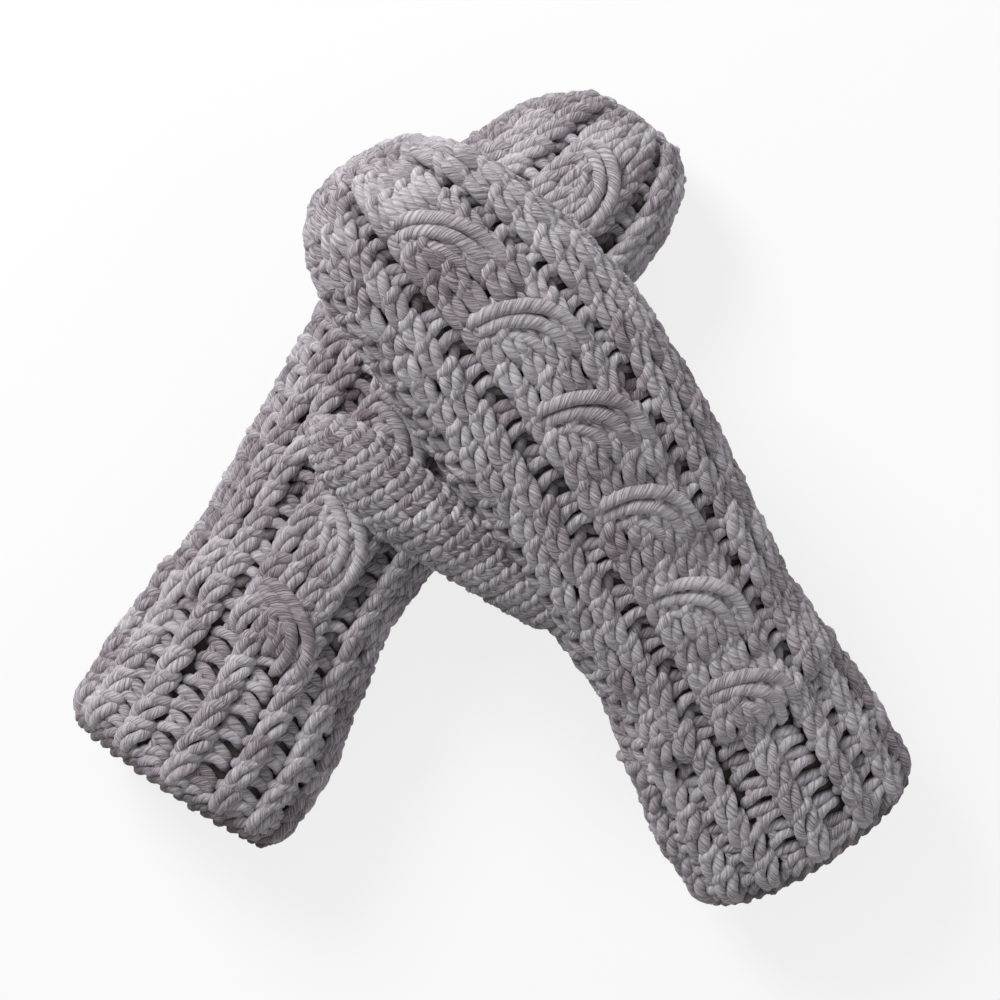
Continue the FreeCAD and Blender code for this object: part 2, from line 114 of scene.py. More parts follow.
def measureTube(tree, stations, start, flatLimit):        # one fitted section at each distance
    middle, rows = start, []
    for y in stations:
        hits = []
        for step in range(guideSizes["rays"]):
            angle = 2 * math.pi * (step + 0.5) / guideSizes["rays"]
            way = Vector((math.cos(angle), 0, math.sin(angle)))
            origin = Vector((middle[0], y, middle[1])) + way * guideSizes["reach"]
            place = tree.ray_cast(origin, -way)[0]
            if place is not None and place.z > flatLimit:
                hits.append((place.x, place.z))
        hits = np.array(hits)
        section = fitEllipse(hits, middle)
        for _ in range(2):        # again without the points that stray from the first fit
            off = np.hypot((hits[:, 0] - section[2]) / section[0],
                           (hits[:, 1] - section[3]) / section[1])
            hits = hits[np.abs(off - 1) * section[1] < guideSizes["stray"]]
            section = fitEllipse(hits, middle)
        middle = (section[2], section[3])
        rows.append((y,) + section)
    return np.array(rows)


def smoothRows(rows, times):
    for _ in range(times):
        middle = rows[1:-1].copy()
        middle[:, 1:] = (rows[:-2, 1:] + 2 * rows[1:-1, 1:] + rows[2:, 1:]) / 4
        rows = np.vstack((rows[:1], middle, rows[-1:]))
    return rows


def girthOf(halfWidth, halfDepth):
    share = ((halfWidth - halfDepth) / (halfWidth + halfDepth)) ** 2
    return math.pi * (halfWidth + halfDepth) * (1 + 3 * share / (10 + np.sqrt(4 - 3 * share)))


def makeGuide(name, side, rows, girth):
    # rows hold y, half width, half depth and middle; girth is the length that one turn stands for
    meridian = (rows[:, 1] + rows[:, 2]) / 2
    steps = np.hypot(np.diff(rows[:, 0]), np.diff(meridian))
    along = np.concatenate(([0.0], np.cumsum(steps)))
    over = guideSizes["overlap"]
    count = guideSizes["roundSteps"]
    turns = np.linspace(-0.5 - over, 0.5 + over, count + 1)
    fine = np.linspace(0, 2 * math.pi, 721)
    places = np.zeros((len(rows), count + 1, 3))
    for i, (y, halfWidth, halfDepth, x, z) in enumerate(rows):
        speed = np.hypot(halfWidth * np.cos(fine), halfDepth * np.sin(fine))
        length = np.concatenate(([0.0], np.cumsum((speed[1:] + speed[:-1]) / 2)))
        angle = np.interp(turns % 1.0, length / length[-1], fine)
        places[i, :, 0] = x + halfWidth * np.sin(angle)        # from the highest line, towards +X
        places[i, :, 1] = y
        places[i, :, 2] = z + halfDepth * np.cos(angle)
    acrossWay = np.gradient(places, axis=1)
    alongWay = np.gradient(places, axis=0)
    normals = np.cross(acrossWay, alongWay)
    normals /= np.linalg.norm(normals, axis=2, keepdims=True) + 1e-12
    guide = {"name": name, "side": side, "girth": girth, "over": over, "turns": turns,
             "along": along, "places": places, "normals": normals, "start": 0.0,
             "rows": rows, "length": along[-1]}
    guide["object"] = guideObject(guide)
    return guide


def guideObject(guide):
    rows, count = guide["places"].shape[:2]
    matrix = np.array(matrices[guide["side"]])
    points = guide["places"].reshape(-1, 3) @ matrix[:3, :3].T + matrix[:3, 3]
    normals = guide["normals"].reshape(-1, 3) @ matrix[:3, :3].T
    faces = [(i * count + j, i * count + j + 1, (i + 1) * count + j + 1, (i + 1) * count + j)
             for i in range(rows - 1) for j in range(count - 1)]
    mesh = bpy.data.meshes.new(guide["name"])
    mesh.from_pydata(points.tolist(), [], faces)
    corners = np.zeros(len(mesh.loops), dtype=np.int64)
    mesh.loops.foreach_get("vertex_index", corners)
    u = (corners % count) / (count - 1)
    v = guide["along"][corners // count] / guide["length"]
    layer = mesh.uv_layers.new(name="fabric")
    layer.data.foreach_set("uv", np.column_stack((u, v)).ravel().astype(np.float32))
    attribute = mesh.attributes.new("guideNormal", "FLOAT_VECTOR", "POINT")
    attribute.data.foreach_set("vector", normals.ravel().astype(np.float32))
    thing = bpy.data.objects.new(guide["name"], mesh)
    bpy.context.scene.collection.objects.link(thing)
    thing.hide_render = True
    return thing


def placeOn(guide, turn, along, height=0.0):        # local point for shares of a turn and distances
    turn, along = np.broadcast_arrays(np.asarray(turn, float), np.asarray(along, float))
    count = guide["places"].shape[1] - 1
    over = guide["over"]
    u = np.clip((turn + 0.5 + over) / (1 + 2 * over), 0, 1) * count
    v = np.interp(along - guide["start"], guide["along"], np.arange(len(guide["along"])))
    i, j = np.minimum(v.astype(int), len(guide["along"]) - 2), np.minimum(u.astype(int), count - 1)
    fv, fu = (v - i)[..., None], (u - j)[..., None]
    result = 0
    for table, scale in ((guide["places"], 1.0), (guide["normals"], height)):
        low = table[i, j] * (1 - fu) + table[i, j + 1] * fu
        high = table[i + 1, j] * (1 - fu) + table[i + 1, j + 1] * fu
        result = result + (low * (1 - fv) + high * fv) * scale
    return result


matrices = {side: mittenMatrix(side) for side in handSign}
print("frame read")


# The guides: one along each mitten and one along each thumb

thumbSizes = {
    "start": 118 * mm,        # from the cuff edge to where the gusset begins
    "firstWidth": 18 * mm,
    "firstDepth": 15 * mm,
    "step": 4 * mm,
    "closing": 1.5 * mm,        # from the last measured section to the closed end
    "closedSize": 1.2 * mm,
    "girth": 87 * mm,        # round the thumb where it is widest
}
mittenSizes = {
    "cuffTop": 60 * mm,
    "girth": 227 * mm,        # round the hand where it is widest
    "closedSize": 1.5 * mm,
    "closing": 1.2 * mm,
}


def mittenGuide(side):
    shells = ("cuff_edge", "cuff", "hand", "fingers", "tip_gather")
    tree = localTree(side, shells)
    edge = localPoints(side, "cuff_edge")
    tip = max(point.y for point in localPoints(side, "tip_gather"))
    low, high = [min(p[i] for p in edge) for i in (0, 2)], [max(p[i] for p in edge) for i in (0, 2)]
    middle = ((low[0] + high[0]) / 2, (low[1] + high[1]) / 2)
    stations = np.arange(1.0 * mm, tip - 0.5 * mm, guideSizes["station"])
    stations = np.append(stations, tip - 0.5 * mm)
    rows = measureTube(tree, stations, middle, guideSizes["flatLimit"])
    rows[rows[:, 0] < 7 * mm, 1:3] -= guideSizes["ribRise"]        # the edge is level with the ribs
    rows = smoothRows(rows, guideSizes["smoothing"])
    last = rows[-1].copy()
    last[0] += mittenSizes["closing"]
    last[1:3] = mittenSizes["closedSize"]
    first = rows[0].copy()
    first[0] -= guideSizes["rimRoll"]
    guide = makeGuide(side + "MittenGuide", side, np.vstack((first, rows, last)), mittenSizes["girth"])
    guide["start"] = first[0]
    return guide


def thumbGuide(side):
    tree = localTree(side, ("thumb", "thumb_tip"))
    points = localPoints(side, "thumb")
    root, tip = min(p.y for p in points), max(p.y for p in localPoints(side, "thumb_tip"))
    near = [p for p in points if p.y < root + 3 * mm]
    middle = (sum(p.x for p in near) / len(near), sum(p.z for p in near) / len(near))
    stations = np.arange(root + 1 * mm, tip - 0.5 * mm, thumbSizes["step"])
    stations = np.append(stations, tip - 0.4 * mm)
    rows = measureTube(tree, stations, middle, -1.0)
    outward = -handSign[side]
    gusset = localPoints(side, "thumb_gusset")
    first = min(p.y for p in gusset)
    edge = max(p.x * outward for p in gusset if p.y < first + 3 * mm)
    start = np.array([thumbSizes["start"], thumbSizes["firstWidth"] / 2, thumbSizes["firstDepth"] / 2,
                      outward * (edge - thumbSizes["firstWidth"] / 2), rows[0, 4]])
    count = int((rows[0, 0] - start[0]) / thumbSizes["step"])
    shares = np.linspace(0, 1, count, endpoint=False)[:, None]
    rows = smoothRows(np.vstack((start + (rows[0] - start) * shares, rows)), guideSizes["smoothing"])
    last = rows[-1].copy()
    last[0] += thumbSizes["closing"]
    last[1:3] = thumbSizes["closedSize"]
    guide = makeGuide(side + "ThumbGuide", side, np.vstack((rows, last)), thumbSizes["girth"])
    guide["start"] = rows[0, 0]
    return guide


mittenGuides = {side: mittenGuide(side) for side in handSign}
thumbGuides = {side: thumbGuide(side) for side in handSign}
for side in handSign:
    for guide in (mittenGuides[side], thumbGuides[side]):
        print(guide["name"], "length %.1f mm" % (guide["length"] / mm),
              "widest girth %.1f mm" % (girthOf(guide["rows"][:, 1], guide["rows"][:, 2]).max() / mm))


# Stitches, drawn flat: X in stitch widths, Y in rows, Z and the yarn's radius in millimetres

stitchSizes = {
    "pointsPerStrand": 9,
    "yarn": 2.05,        # radius of the yarn
    "thinYarn": 1.7,
    "ropeYarn": 2.45,
    "endShare": 0.55,        # how thin a strand is where it dives under the next
}
stitches = {
    # raised front post: two strands side by side, and the yarn-over slanting across them
    "frontPost": [
        ("yarn", [(-0.02, -0.34, -2.8), (-0.26, -0.04, 0.5), (-0.30, 0.34, 1.6), (-0.14, 0.74, 1.6),
                  (0.10, 1.06, 0.2), (0.14, 1.30, -2.8)]),
        ("yarn", [(0.12, -0.32, -2.8), (0.04, -0.06, 0.2), (0.12, 0.30, 1.5), (0.30, 0.64, 1.1),
                  (0.34, 0.94, -0.6), (0.22, 1.16, -2.8)]),
        ("yarn", [(-0.50, 0.52, -2.8), (-0.36, 0.74, 0.0), (-0.06, 0.98, 1.9), (0.28, 1.12, 0.8),
                  (0.44, 1.16, -2.4)]),
    ],
    # plain stitch: two legs and the loop lying over them
    "plain": [
        ("yarn", [(0.06, -0.18, -4.4), (-0.08, 0.08, -2.2), (-0.28, 0.42, -1.7), (-0.40, 0.76, -2.4),
                  (-0.40, 1.02, -4.2)]),
        ("yarn", [(0.10, -0.14, -4.4), (0.20, 0.16, -2.5), (0.26, 0.48, -1.9), (0.32, 0.80, -2.6),
                  (0.34, 1.02, -4.2)]),
        ("yarn", [(-0.58, 0.62, -4.4), (-0.36, 0.88, -2.3), (0.00, 1.02, -1.5), (0.36, 0.98, -2.0),
                  (0.60, 0.80, -4.4)]),
    ],
    # back post between raised columns: the loops lie across, one over the other
    "backPost": [
        ("yarn", [(-0.80, 0.02, -5.0), (-0.44, 0.26, -2.4), (0.02, 0.44, -1.5), (0.44, 0.36, -2.3),
                  (0.80, 0.16, -4.8)]),
        ("yarn", [(-0.80, 0.78, -5.0), (-0.40, 0.88, -2.9), (0.06, 0.84, -2.2), (0.46, 0.66, -2.8),
                  (0.80, 0.46, -4.8)]),
        ("thinYarn", [(-0.42, -0.02, -4.8), (-0.30, 0.34, -2.6), (-0.24, 0.70, -2.5),
                     (-0.30, 1.06, -4.8)]),
        ("thinYarn", [(-0.20, -0.10, -5.0), (-0.12, 0.20, -3.9), (0.02, 0.60, -3.7),
                     (0.06, 1.04, -5.0)]),
    ],
    "openBackPost": [        # every other row leaves a hole
        ("yarn", [(-0.84, 0.40, -4.8), (-0.44, 0.64, -2.2), (0.04, 0.84, -1.4), (0.46, 0.74, -2.2),
                  (0.84, 0.50, -4.8)]),
        ("yarn", [(-0.84, -0.10, -4.8), (-0.46, 0.06, -2.8), (-0.14, 0.30, -2.6), (0.02, 0.66, -3.6)]),
        ("thinYarn", [(0.84, 0.06, -4.8), (0.50, 0.20, -3.2), (0.24, 0.40, -3.0), (0.16, 0.80, -4.4)]),
    ],
    # crossing: strands reach over from the lower right to the upper left, each with its own arch
    "crossing": [
        ("ropeYarn", [(-2.05, 0.86, -3.0), (-1.70, 1.02, -1.0), (-1.06, 1.04, 0.9), (-0.34, 0.90, 1.9),
                      (0.42, 0.58, 2.4), (1.08, 0.10, 2.5), (1.48, -0.50, 2.1), (1.60, -1.16, 1.7),
                      (1.58, -1.84, 0.9), (1.50, -2.40, -2.8)]),
        ("ropeYarn", [(-2.02, 0.36, -3.0), (-1.52, 0.54, -1.0), (-0.90, 0.54, 0.7), (-0.24, 0.34, 1.6),
                      (0.34, -0.04, 2.0), (0.72, -0.54, 1.9), (0.84, -1.10, 1.5), (0.80, -1.66, 0.6),
                      (0.72, -2.14, -2.8)]),
        ("yarn", [(-1.92, -0.10, -2.8), (-1.40, 0.08, -1.0), (-0.84, 0.02, 0.4), (-0.34, -0.28, 1.1),
                  (-0.04, -0.76, 1.3), (0.02, -1.26, 0.7), (-0.06, -1.70, -2.6)]),
    ],
    # single crochet of the thumb: a narrow V under a ridge
    "single": [
        ("thinYarn", [(0.06, -0.06, -3.9), (-0.06, 0.22, -2.3), (-0.24, 0.50, -1.7),
                     (-0.36, 0.80, -3.2)]),
        ("thinYarn", [(0.16, -0.06, -3.9), (0.22, 0.24, -2.2), (0.28, 0.54, -1.8), (0.28, 0.80, -3.2)]),
        ("thinYarn", [(-0.66, 0.56, -3.4), (-0.30, 0.76, -1.6), (0.16, 0.90, -1.2), (0.62, 0.84, -3.0)]),
    ],
    # the chain that the cuff starts from
    "edge": [
        ("yarn", [(-0.72, 0.10, -3.4), (-0.30, 0.50, -1.9), (0.20, 0.78, -1.5), (0.72, 0.62, -3.0)]),
        ("yarn", [(-0.66, -0.30, -4.6), (-0.20, 0.02, -3.4), (0.25, 0.16, -2.6), (0.66, 0.02, -3.6)]),
    ],
}


def smoothStrand(points, count):        # a smooth line through a few points
    points = np.array(points, float)
    padded = np.vstack((2 * points[0] - points[1], points, 2 * points[-1] - points[-2]))
    result = []
    for share in np.linspace(0, len(points) - 1, count):
        i = min(int(share), len(points) - 2)
        t = share - i
        a, b, c, d = padded[i:i + 4]
        result.append(0.5 * (2 * b + (c - a) * t + (2 * a - 5 * b + 4 * c - d) * t * t
                             + (3 * b - a - 3 * c + d) * t ** 3))
    return result


def stitchCurves(kinds, folder):        # one curve object for each kind of stitch, in a collection
    collection = bpy.data.collections.new(folder)
    for number, kind in enumerate(kinds):
        curve = bpy.data.curves.new(kind, "CURVE")
        curve.dimensions = "3D"
        for yarn, route in stitches[kind]:
            count = stitchSizes["pointsPerStrand"] + 2 * (len(route) > 6)
            line = smoothStrand(route, count)
            spline = curve.splines.new("POLY")
            spline.points.add(count - 1)
            for i, (point, place) in enumerate(zip(spline.points, line)):
                ending = min(i, count - 1 - i) == 0
                point.co = (place[0], place[1], place[2] * mm, 1.0)
                point.radius = stitchSizes[yarn] * mm * (stitchSizes["endShare"] if ending else 1.0)
        thing = bpy.data.objects.new("stitch%02d_%s" % (number, kind), curve)
        collection.objects.link(thing)
    return collection


def node(tree, kind, values=None, **settings):
    made = tree.nodes.new(kind)
    for name, value in settings.items():
        setattr(made, name, value)
    for name, value in (values or {}).items():
        if isinstance(value, bpy.types.NodeSocket):
            tree.links.new(value, made.inputs[name])
        else:
            made.inputs[name].default_value = value
    return made


def newTree(name, kind, inputs, outputs):
    tree = bpy.data.node_groups.new(name, kind)
    for label, socket, value in inputs:
        item = tree.interface.new_socket(label, in_out="INPUT", socket_type=socket)
        if value is not None:
            item.default_value = value
    for label, socket in outputs:
        tree.interface.new_socket(label, in_out="OUTPUT", socket_type=socket)
    return tree


def maths(tree, operation, *values):
    made = tree.nodes.new("ShaderNodeMath")
    made.operation = operation
    fill(tree, made, values)
    return made.outputs[0]


def vectors(tree, operation, *values):
    made = tree.nodes.new("ShaderNodeVectorMath")
    made.operation = operation
    if operation == "SCALE":
        fill(tree, made, values[:1])
        fill(tree, made, values[1:], first=3)
    else:
        fill(tree, made, values)
    return made.outputs["Value" if operation in ("DOT_PRODUCT", "LENGTH") else "Vector"]


def fill(tree, made, values, first=0):
    for i, value in enumerate(values, start=first):
        if isinstance(value, bpy.types.NodeSocket):
            tree.links.new(value, made.inputs[i])
        else:
            made.inputs[i].default_value = value


def named(tree, name, kind):
    made = node(tree, "GeometryNodeInputNamedAttribute", {"Name": name}, data_type=kind)
    return made.outputs["Attribute"]


def stitchTree():        # lays stitches out flat, wraps them onto the guide and sweeps the yarn
    tree = newTree("WrapStitches", "GeometryNodeTree", [
        ("Geometry", "NodeSocketGeometry", None),
        ("Stitches", "NodeSocketCollection", None),
        ("Guide", "NodeSocketObject", None),
        ("Girth", "NodeSocketFloat", 0.2),
        ("Length", "NodeSocketFloat", 0.3),
        ("Start", "NodeSocketFloat", 0.0),
        ("Overlap", "NodeSocketFloat", 0.15),
        ("Sides", "NodeSocketInt", 8),
        ("Seed", "NodeSocketInt", 1),
        ("Turn", "NodeSocketFloat", 0.1),
        ("Size Change", "NodeSocketFloat", 0.06),
        ("Lift Change", "NodeSocketFloat", 0.0003),
        ("Yarn Change", "NodeSocketFloat", 0.05),
        ("Yarn", "NodeSocketMaterial", None),
    ], [("Geometry", "NodeSocketGeometry")])
    into = tree.nodes.new("NodeGroupInput").outputs
    seed = into["Seed"]

    def chance(low, high, shift):        # a random number for each stitch
        own = maths(tree, "ADD", seed, shift)
        made = node(tree, "FunctionNodeRandomValue", data_type="FLOAT")
        floats = [socket for socket in made.inputs if socket.type == "VALUE" and socket.enabled]
        for socket, value in zip(floats, (low, high)):
            if isinstance(value, bpy.types.NodeSocket):
                tree.links.new(value, socket)
            else:
                socket.default_value = value
        tree.links.new(own, made.inputs["Seed"])
        return [socket for socket in made.outputs if socket.type == "VALUE" and socket.enabled][0]

    def about(amount, shift):
        return chance(maths(tree, "MULTIPLY", amount, -1.0), amount, shift)

    shapes = node(tree, "GeometryNodeCollectionInfo", {
        "Collection": into["Stitches"], "Separate Children": True, "Reset Children": True})
    lean = maths(tree, "ADD", named(tree, "lean", "FLOAT"), about(into["Turn"], 1))
    turned = node(tree, "ShaderNodeCombineXYZ", {"Z": lean}).outputs[0]
    wide = maths(tree, "MULTIPLY", named(tree, "wide", "FLOAT"),
                 maths(tree, "ADD", 1.0, about(into["Size Change"], 2)))
    tall = maths(tree, "MULTIPLY", named(tree, "tall", "FLOAT"),
                 maths(tree, "ADD", 1.0, about(into["Size Change"], 3)))
    scale = node(tree, "ShaderNodeCombineXYZ", {"X": wide, "Y": tall, "Z": 1.0}).outputs[0]
    lift = node(tree, "ShaderNodeCombineXYZ", {"Z": about(into["Lift Change"], 4)}).outputs[0]
    moved = node(tree, "GeometryNodeSetPosition", {"Geometry": into["Geometry"], "Offset": lift})
    shade = node(tree, "GeometryNodeStoreNamedAttribute", {
        "Geometry": moved.outputs[0], "Name": "yarnShade", "Value": chance(0.0, 1.0, 5)},
        data_type="FLOAT", domain="POINT")
    placed = node(tree, "GeometryNodeInstanceOnPoints", {
        "Points": shade.outputs[0], "Instance": shapes.outputs[0], "Pick Instance": True,
        "Instance Index": named(tree, "kind", "INT"), "Rotation": turned, "Scale": scale})
    flat = node(tree, "GeometryNodeRealizeInstances", {"Geometry": placed.outputs[0]})
    place = tree.nodes.new("GeometryNodeInputPosition").outputs[0]
    parts = node(tree, "ShaderNodeSeparateXYZ", {"Vector": place}).outputs
    rise = node(tree, "GeometryNodeStoreNamedAttribute", {
        "Geometry": flat.outputs[0], "Name": "yarnRise", "Value": parts["Z"]},
        data_type="FLOAT", domain="POINT")
    whole = maths(tree, "ADD", 1.0, maths(tree, "MULTIPLY", into["Overlap"], 2.0))
    share = maths(tree, "ADD", maths(tree, "DIVIDE", parts["X"], into["Girth"]),
                  maths(tree, "ADD", 0.5, into["Overlap"]))
    u = maths(tree, "DIVIDE", share, whole)
    v = maths(tree, "DIVIDE", maths(tree, "SUBTRACT", parts["Y"], into["Start"]), into["Length"])
    spot = node(tree, "ShaderNodeCombineXYZ", {
        "X": maths(tree, "MINIMUM", maths(tree, "MAXIMUM", u, 0.0005), 0.9995),
        "Y": maths(tree, "MINIMUM", maths(tree, "MAXIMUM", v, 0.0005), 0.9995)}).outputs[0]
    surface = node(tree, "GeometryNodeObjectInfo", {"Object": into["Guide"]},
                   transform_space="ORIGINAL").outputs["Geometry"]
    fabric = named(tree, "fabric", "FLOAT_VECTOR")

    def sampled(value):
        made = node(tree, "GeometryNodeSampleUVSurface", {
            "Mesh": surface, "Value": value, "UV Map": fabric, "Sample UV": spot},
            data_type="FLOAT_VECTOR")
        return made.outputs["Value"]

    foot = sampled(tree.nodes.new("GeometryNodeInputPosition").outputs[0])
    normal = vectors(tree, "NORMALIZE", sampled(named(tree, "guideNormal", "FLOAT_VECTOR")))
    target = vectors(tree, "ADD", foot, vectors(tree, "SCALE", normal, parts["Z"]))
    wrapped = node(tree, "GeometryNodeSetPosition", {"Geometry": rise.outputs[0], "Position": target})
    radius = tree.nodes.new("GeometryNodeInputRadius").outputs[0]
    thickness = maths(tree, "MULTIPLY", radius, maths(tree, "ADD", 1.0, about(into["Yarn Change"], 6)))
    along = node(tree, "GeometryNodeStoreNamedAttribute", {
        "Geometry": wrapped.outputs[0], "Name": "yarnAlong",
        "Value": tree.nodes.new("GeometryNodeSplineParameter").outputs["Length"]},
        data_type="FLOAT", domain="POINT")
    ring = node(tree, "GeometryNodeCurvePrimitiveCircle", {"Resolution": into["Sides"], "Radius": 1.0})
    angle = maths(tree, "MULTIPLY", tree.nodes.new("GeometryNodeSplineParameter").outputs["Factor"],
                  2 * math.pi)
    round_ = node(tree, "ShaderNodeCombineXYZ", {
        "X": maths(tree, "COSINE", angle), "Y": maths(tree, "SINE", angle)}).outputs[0]
    ringWay = node(tree, "GeometryNodeStoreNamedAttribute", {
        "Geometry": ring.outputs[0], "Name": "yarnRound", "Value": round_},
        data_type="FLOAT_VECTOR", domain="POINT")
    swept = node(tree, "GeometryNodeCurveToMesh", {
        "Curve": along.outputs[0], "Profile Curve": ringWay.outputs[0], "Scale": thickness,
        "Fill Caps": True})
    soft = node(tree, "GeometryNodeSetShadeSmooth", {"Geometry": swept.outputs[0]})
    whole_ = node(tree, "GeometryNodeRealizeInstances", {"Geometry": soft.outputs[0]})
    dressed = node(tree, "GeometryNodeSetMaterial", {
        "Geometry": whole_.outputs[0], "Material": into["Yarn"]})
    out = tree.nodes.new("NodeGroupOutput")
    tree.links.new(dressed.outputs[0], out.inputs[0])
    return tree


kindNames = list(stitches)
stitchFolder = stitchCurves(kindNames, "StitchShapes")
wrapTree = stitchTree()


def setInputs(modifier, values):        # by the sockets' identifiers
    names = {item.name: item.identifier for item in modifier.node_group.interface.items_tree
             if item.item_type == "SOCKET" and item.in_out == "INPUT"}
    for name, value in values.items():
        modifier[names[name]] = value


def pointsObject(name, rows):        # rows: kind, turn share, distance, height, width, row height, lean
    mesh = bpy.data.meshes.new(name + "Points")
    mesh.from_pydata([row[1:4] for row in rows], [], [])
    for column, label in ((4, "wide"), (5, "tall"), (6, "lean")):
        attribute = mesh.attributes.new(label, "FLOAT", "POINT")
        attribute.data.foreach_set("value", np.array([row[column] for row in rows], np.float32))
    attribute = mesh.attributes.new("kind", "INT", "POINT")
    attribute.data.foreach_set("value", np.array([kindNames.index(row[0]) for row in rows], np.int32))
    thing = bpy.data.objects.new(name + "Points", mesh)
    bpy.context.scene.collection.objects.link(thing)
    return thing


def workPiece(name, guide, rows, material, seed, changes=None):        # stitches to one plain mesh
    layout = [(kind, turn * guide["girth"], distance, height, width, tall, lean)
              for kind, turn, distance, height, width, tall, lean in rows]
    source = pointsObject(name, layout)
    modifier = source.modifiers.new("Stitches", "NODES")
    modifier.node_group = wrapTree
    values = {"Stitches": stitchFolder, "Guide": guide["object"], "Girth": guide["girth"],
              "Length": guide["length"], "Start": guide["start"], "Overlap": guide["over"],
              "Sides": workSizes["sides"], "Seed": seed, "Yarn": material}
    values.update(workSizes["changes"])
    values.update(changes or {})
    setInputs(modifier, values)
    bpy.context.view_layer.update()
    evaluated = source.evaluated_get(bpy.context.evaluated_depsgraph_get())
    mesh = bpy.data.meshes.new_from_object(evaluated)
    mesh.name = name
    bpy.data.objects.remove(source)
    if not mesh.materials:
        mesh.materials.append(material)
    restOnPalm(mesh, guide["side"])
    piece = bpy.data.objects.new(name, mesh)
    bpy.context.scene.collection.objects.link(piece)
    mesh.calc_loop_triangles()
    print("%-30s %4d stitches %7d triangles" % (name, len(rows), len(mesh.loop_triangles)))
    return piece


workSizes = {
    "sides": 8,
    "changes": {"Turn": 0.16, "Size Change": 0.10, "Lift Change": 0.5 * mm, "Yarn Change": 0.08},
    "press": 0.8 * mm,        # how softly the palm side is pressed flat
}


def restOnPalm(mesh, side):        # nothing reaches below the face that the mitten lies on
    points = np.zeros(len(mesh.vertices) * 3)
    mesh.vertices.foreach_get("co", points)
    points = points.reshape(-1, 3)
    matrix = np.array(matrices[side])
    up, base = matrix[:3, 2], matrix[:3, 3]
    height = (points - base) @ up
    pressed = (height + np.sqrt(height ** 2 + workSizes["press"] ** 2)) / 2
    points += np.outer(pressed - height, up)
    mesh.vertices.foreach_set("co", points.ravel())
    mesh.update()


# Yarn

yarnSizes = {
    "color": (0.160, 0.122, 0.142, 1.0),        # pale mauve grey
    "paintedShadeColor": (0.040, 0.024, 0.026, 1.0),        # painted shade, where the stitches dive in
    # pale end of the yarn's colour: painted highlights on the fibre streaks, and random lighter patches
    "lightColor": (0.68, 0.635, 0.69, 1.0),
    "plies": 4.0,
    "plyTurn": 8.5 * mm,        # length in which a ply goes once round
    "plyDepth": 0.16 * mm,
    "fibreDepth": 0.55 * mm,
    "recessShadeBelow": -3.4 * mm,        # where the painted shade takes over, and where it ends
    "recessShadeAbove": -1.3 * mm,
    "roughness": 0.86,
    "specular": 0.3,
    "sheen": 0.25,
    "sheenRoughness": 0.45,
}
yarnNoise = {        # how fine each noise is, and how much it counts
    "strayScale": 210.0,        # lets the plies stray from an even twist
    "strayPhase": 5.0,
    "plyRoundness": 0.55,
    "fibreScale": 3.4,
    "fibreAlong": 60.0,        # low, so the fibres are drawn out along the twist
    "fibrePhase": 30.0,
    "tuftScale": 330.0,
    "cloudScale": 38.0,
    # painted shade in the valleys between the plies
    "plyValleyShadeShare": 0.16,
    "stitchShare": 0.3,
    "fibreShare": 0.74,
    "lightFrom": 0.40,
    "lightTo": 0.60,
    # how strongly the painted shade darkens the strands that lie low
    "recessShadeShare": 0.75,
    "roughChange": 0.16,
}


